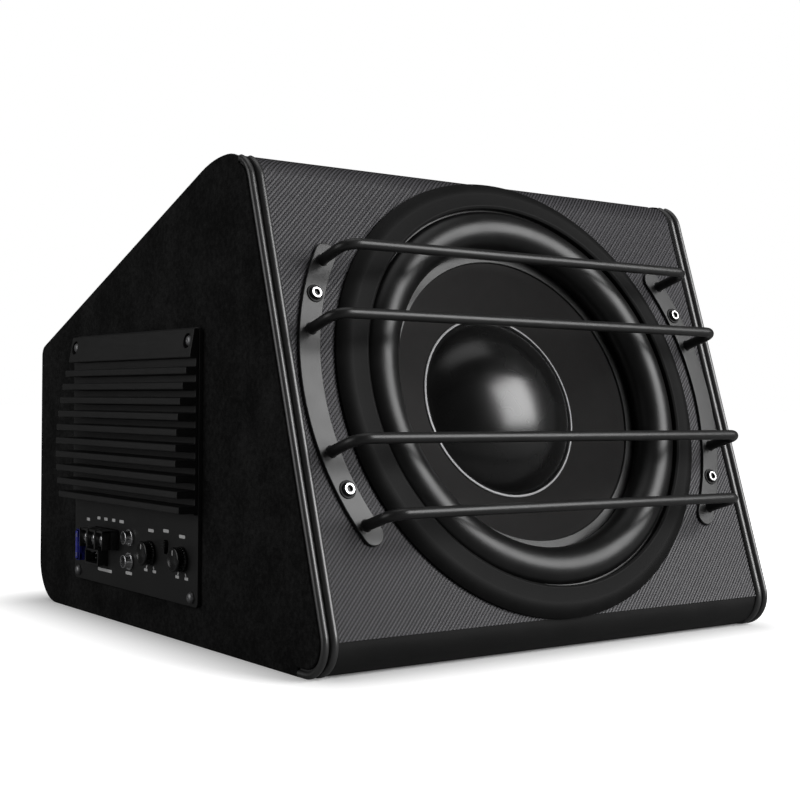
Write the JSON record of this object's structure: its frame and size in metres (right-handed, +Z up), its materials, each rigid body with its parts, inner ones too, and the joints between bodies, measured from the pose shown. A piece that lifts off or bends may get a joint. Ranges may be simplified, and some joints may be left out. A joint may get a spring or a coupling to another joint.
{
  "type": "powered car subwoofer",
  "caption": "Wedge-shaped carpeted bass box with a guarded woofer on its leaning front and a finned amplifier with controls on its left side.",
  "frame": {"origin": "centre of the underside, on the surface that the box stands on", "axes": "+Z up, +Y towards the back of the box, +X to the right as seen from the front; the woofer looks towards -Y"},
  "size_m": [0.3526, 0.3776, 0.2767],
  "materials": {
    "mdf": "raw fibreboard",
    "pine": "sawn softwood",
    "wadding": "loose polyester fibre",
    "carpet": "short felt pile",
    "carbon_vinyl": "embossed twill vinyl, semi-gloss",
    "plain_vinyl": "plain grained vinyl, matt",
    "trim": "polished black extrusion",
    "rubber": "satin moulded rubber",
    "gasket": "matt moulded rubber",
    "paper_cone": "fine matt fibre",
    "dust_cap": "satin-gloss moulding",
    "bright_ring": "polished",
    "black_paint": "satin black powder coat",
    "bright_steel": "zinc plated",
    "steel": "plated steel",
    "ferrite": "sintered ferrite",
    "copper": "enamelled copper wire",
    "former": "thin drawn sheet",
    "spider_cloth": "resin-dipped cotton",
    "anodised": "black anodised",
    "panel": "black powder coat, fine grain",
    "black_plastic": "fine-textured moulding",
    "knob": "satin moulding",
    "circuit": "solder-masked laminate",
    "capacitor": "shrink sleeve",
    "fuse_blue": "clear tinted moulding"
  },
  "bodies": {
    "enclosure": {"left_side_board": "mdf", "right_side_board": "mdf", "baffle_board": "mdf", "bottom_board": "mdf", "rear_board": "mdf", "slope_board": "mdf", "top_board": "mdf", "corner_battens": "pine", "damping_wadding": "wadding", "left_side_carpet": "carpet", "right_side_carpet": "carpet", "rear_carpet": "carpet", "front_vinyl": "carbon_vinyl", "underside_cover": "plain_vinyl", "left_edge_trim": "trim", "right_edge_trim": "trim", "driver_basket": "black_paint", "driver_mounting_screws": "steel", "driver_gasket_ring": "gasket", "surround": "rubber", "spider": "spider_cloth", "top_plate": "steel", "ferrite_magnet": "ferrite", "pole_yoke": "steel", "magnet_boot": "rubber", "driver_terminal": "black_plastic", "guard_plate_left": "black_paint", "guard_plate_right": "black_paint", "guard_bar_1": "black_paint", "guard_bar_2": "black_paint", "guard_bar_3": "black_paint", "guard_bar_4": "black_paint", "guard_washers": "black_paint", "guard_screws": "bright_steel", "amp_panel": "panel", "heat_sink": "anodised", "amp_screws": "bright_steel", "amp_rear_cover": "steel", "amp_circuit_board": "circuit", "toroid_transformer": "copper", "filter_capacitors": "capacitor", "power_transistors": "black_plastic", "control_pots": "black_plastic", "phase_switch_body": "black_plastic", "rca_jack_upper": "bright_steel", "rca_jack_lower": "bright_steel", "power_terminal_block": "black_plastic", "terminal_screws": "bright_steel", "fuse_holder": "black_plastic", "high_level_socket": "black_plastic"},
    "cone": {"cone": "paper_cone", "dust_cap": "dust_cap", "dust_cap_ring": "bright_ring", "voice_coil_former": "former", "voice_coil_winding": "copper"},
    "level_knob": {"level_knob": "knob"},
    "crossover_knob": {"crossover_knob": "knob"},
    "phase_slider": {"phase_switch_slider": "black_plastic"},
    "fuse": {"blade_fuse": "fuse_blue"}
  },
  "joints": [
    {"name": "cone_travel", "type": "slide", "parent": "enclosure", "child": "cone", "axis": [0, -0.9527, 0.304], "range_m": [-0.008, 0.008], "stiffness_N_per_m": 5000, "deforming": ["surround", "spider"]},
    {"name": "level_turn", "type": "hinge", "parent": "enclosure", "child": "level_knob", "pos_m": [-0.1675, 0.0068, 0.0484], "axis": [-1, 0, 0], "range_deg": [-145, 145]},
    {"name": "crossover_turn", "type": "hinge", "parent": "enclosure", "child": "crossover_knob", "pos_m": [-0.1675, -0.0342, 0.0484], "axis": [-1, 0, 0], "range_deg": [-145, 145]},
    {"name": "phase_slide", "type": "slide", "parent": "enclosure", "child": "phase_slider", "axis": [0, 0, -1], "range_m": [0, 0.003]},
    {"name": "fuse_pull", "type": "slide", "parent": "enclosure", "child": "fuse", "axis": [-1, 0, 0], "range_m": [0, 0.014]}
  ]
}
